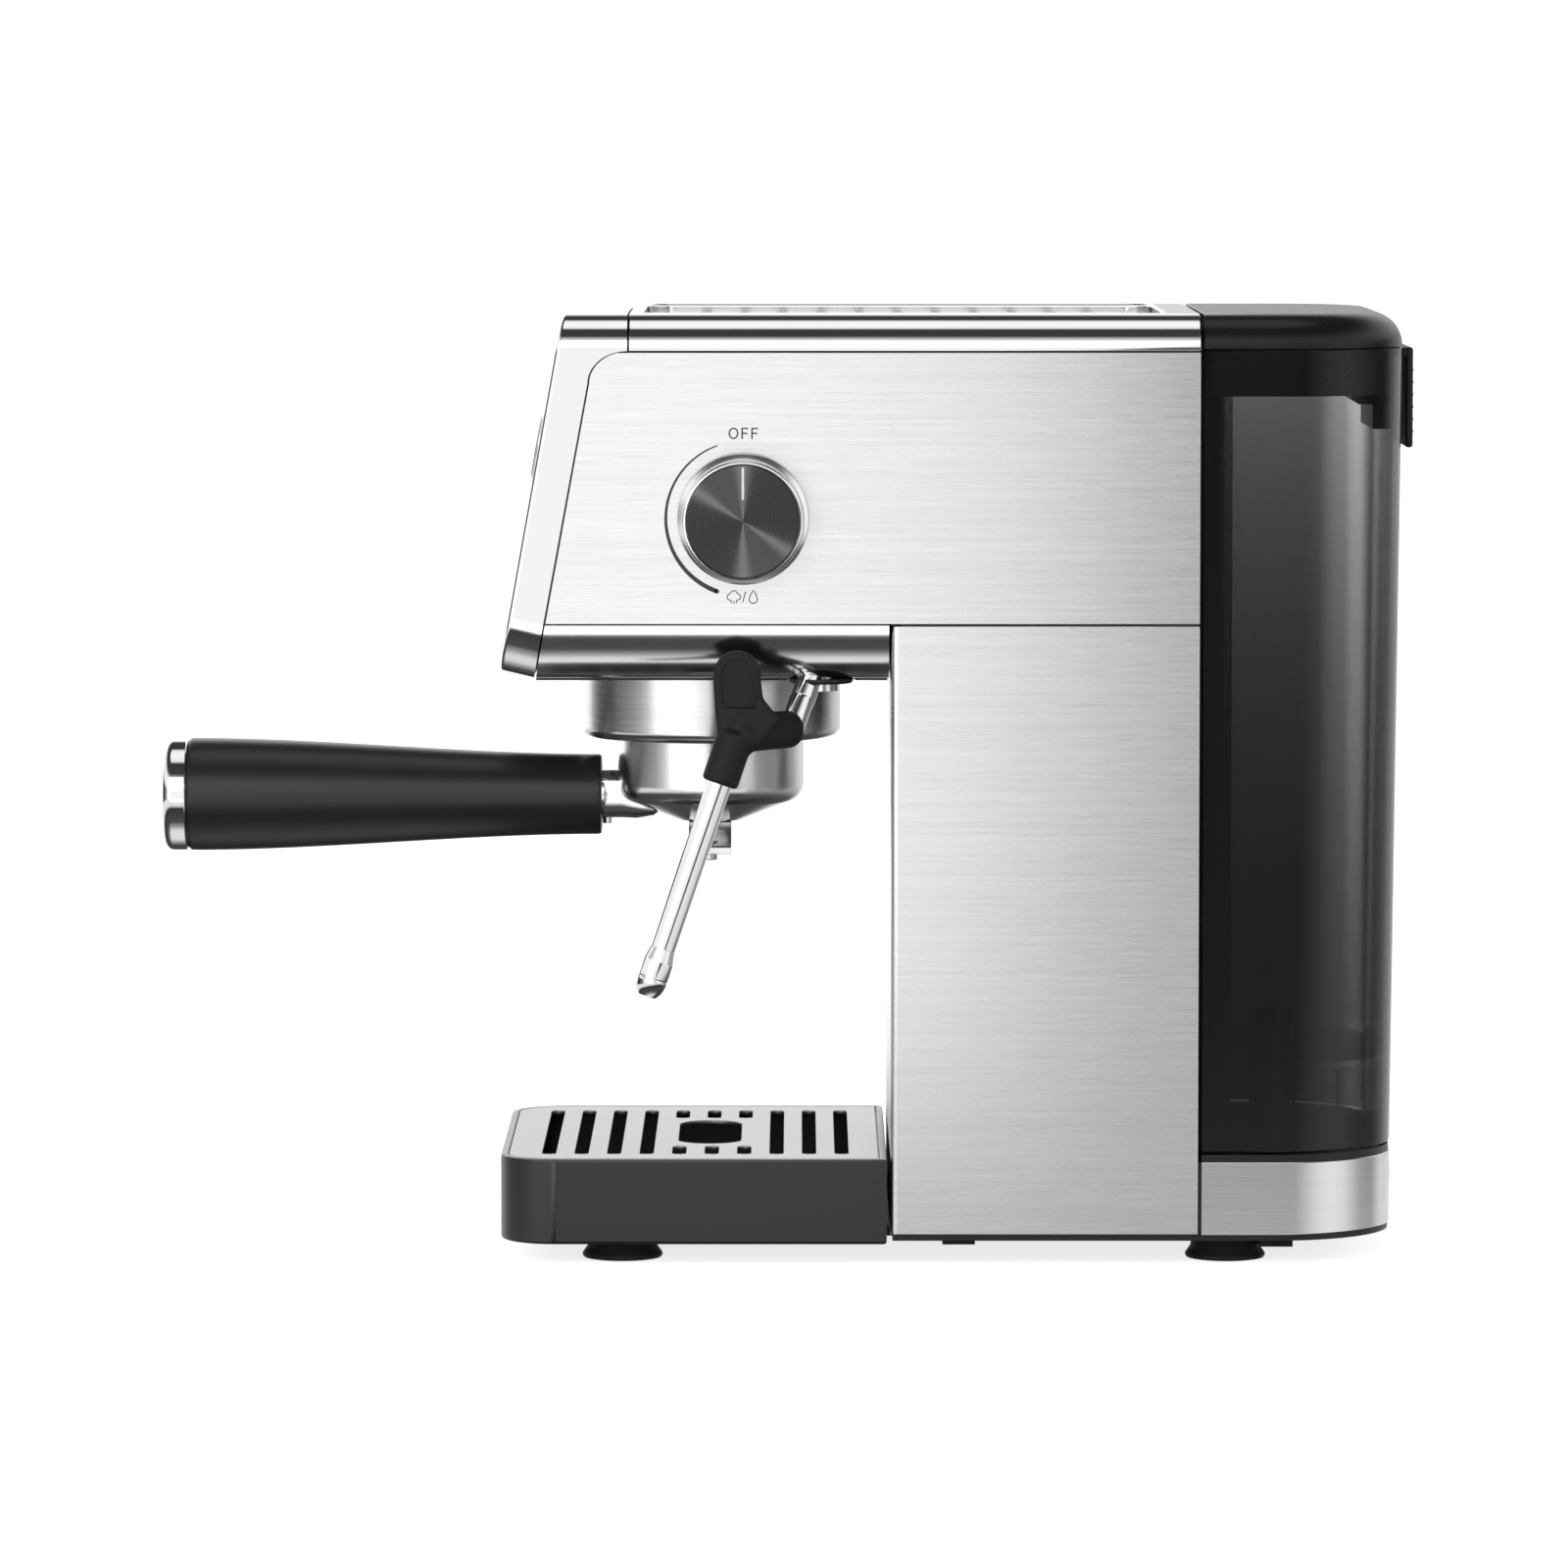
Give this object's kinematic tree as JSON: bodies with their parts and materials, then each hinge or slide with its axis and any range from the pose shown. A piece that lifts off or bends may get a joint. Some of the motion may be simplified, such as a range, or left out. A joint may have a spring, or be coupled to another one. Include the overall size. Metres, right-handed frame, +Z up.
{
  "type": "espresso machine",
  "caption": "Slim pump espresso machine with a portafilter, a swivelling steam wand, a lift-out water tank and a sliding drip tray.",
  "frame": {"origin": "on the surface the feet stand on, straight below the brew axis, in the middle plane", "axes": "+X to the steam side, the machine's right as its user faces it; +Y to the rear; +Z up"},
  "size_m": [0.1707, 0.4078, 0.3053],
  "materials": {
    "brushed_steel": "fine straight brushing, satin",
    "polished_steel": "polished stainless steel",
    "chrome_plate": "bright chrome plate",
    "spun_metal": "spun face with fine rings, dark",
    "plain_steel": "plain stainless steel",
    "cast_aluminium": "as cast, light blast",
    "yellow_brass": "machined brass",
    "black_plastic": "fine moulded texture, black",
    "gloss_black": "smooth black, half gloss",
    "button_plastic": "satin metal-look push button",
    "black_rubber": "matt black rubber",
    "smoky_clear": "smoky see-through plastic, smooth",
    "silicone_hose": "milky silicone hose",
    "circuit_board": "green circuit board"
  },
  "bodies": {
    "root": {"base_band": "brushed_steel", "base_plate": "black_plastic", "boiler_body": "cast_aluminium", "boiler_top": "cast_aluminium", "button_bezels": "chrome_plate", "case_screws": "plain_steel", "column_front_panel": "brushed_steel", "column_rear_wall": "black_plastic", "control_board": "circuit_board", "cord_gland": "black_plastic", "cup_plate": "brushed_steel", "front_panel": "polished_steel", "group_collar": "brushed_steel", "group_gasket": "black_rubber", "group_head": "cast_aluminium", "head_bottom_cover": "polished_steel", "hoses": "silicone_hose", "inner_frame": "plain_steel", "lower_side_panel_left": "brushed_steel", "lower_side_panel_right": "brushed_steel", "power_board": "circuit_board", "pump_body": "yellow_brass", "pump_coil": "black_plastic", "pump_mounts": "black_rubber", "rubber_pads": "black_rubber", "shower_screen": "plain_steel", "shower_screw": "plain_steel", "steam_escutcheon": "black_plastic", "steam_valve_body": "yellow_brass", "suction_feet": "black_rubber", "tank_dock": "black_plastic", "thermostats": "black_plastic", "top_cover": "polished_steel", "upper_side_panel_left": "brushed_steel", "upper_side_panel_right": "brushed_steel"},
    "steam_knob": {"steam_knob": "chrome_plate", "knob_face": "spun_metal", "valve_stem": "plain_steel"},
    "one_cup_button": {"button_one_cup": "button_plastic"},
    "two_cups_button": {"button_two_cups": "button_plastic"},
    "steam_button": {"button_steam": "button_plastic"},
    "steam_wand": {"steam_pipe": "chrome_plate", "steam_grip": "black_rubber", "wand_tube": "chrome_plate", "wand_tip": "plain_steel"},
    "portafilter": {"portafilter_bowl": "chrome_plate", "filter_basket": "plain_steel", "basket_spring": "plain_steel", "spout": "chrome_plate", "spout_screw": "plain_steel", "handle_sleeve": "black_plastic", "handle_cap": "chrome_plate", "handle_bolt": "plain_steel"},
    "tray": {"drip_tray": "black_plastic"},
    "grill": {"drip_grill": "brushed_steel"},
    "tank": {"tank_shell": "smoky_clear", "tank_collar": "black_plastic", "tank_grip": "black_plastic", "tank_valve": "black_plastic"},
    "lid": {"tank_lid": "gloss_black"}
  },
  "joints": [
    {"name": "knob_turn", "type": "hinge", "parent": "root", "child": "steam_knob", "pos_m": [0.075, 0.0113, 0.2402], "axis": [1, 0, 0], "range_deg": [0, 160]},
    {"name": "one_cup_press", "type": "slide", "parent": "root", "child": "one_cup_button", "axis": [0, 0.9843, -0.1763], "range_m": [0, 0.002], "stiffness_N_per_m": 600, "springref_m": -0.001},
    {"name": "two_cups_press", "type": "slide", "parent": "root", "child": "two_cups_button", "axis": [0, 0.9843, -0.1763], "range_m": [0, 0.002], "stiffness_N_per_m": 600, "springref_m": -0.001},
    {"name": "steam_press", "type": "slide", "parent": "root", "child": "steam_button", "axis": [0, 0.9843, -0.1763], "range_m": [0, 0.002], "stiffness_N_per_m": 600, "springref_m": -0.001},
    {"name": "wand_swivel", "type": "hinge", "parent": "root", "child": "steam_wand", "pos_m": [0.056, 0.0362, 0.185], "axis": [0, 0, 1], "range_deg": [0, 70]},
    {"name": "portafilter_twist", "type": "hinge", "parent": "root", "child": "portafilter", "pos_m": [0, 0, 0.17], "axis": [0, 0, 1], "range_deg": [-45, 0]},
    {"name": "tray_slide", "type": "slide", "parent": "root", "child": "tray", "axis": [0, -1, 0], "range_m": [0, 0.13]},
    {"name": "grill_lift", "type": "slide", "parent": "tray", "child": "grill", "axis": [0, 0, 1], "range_m": [0, 0.03]},
    {"name": "tank_lift", "type": "slide", "parent": "root", "child": "tank", "axis": [0, 0, 1], "range_m": [0, 0.27]},
    {"name": "lid_hinge", "type": "hinge", "parent": "tank", "child": "lid", "pos_m": [0, 0.1589, 0.3047], "axis": [1, 0, 0], "range_deg": [0, 85]}
  ]
}
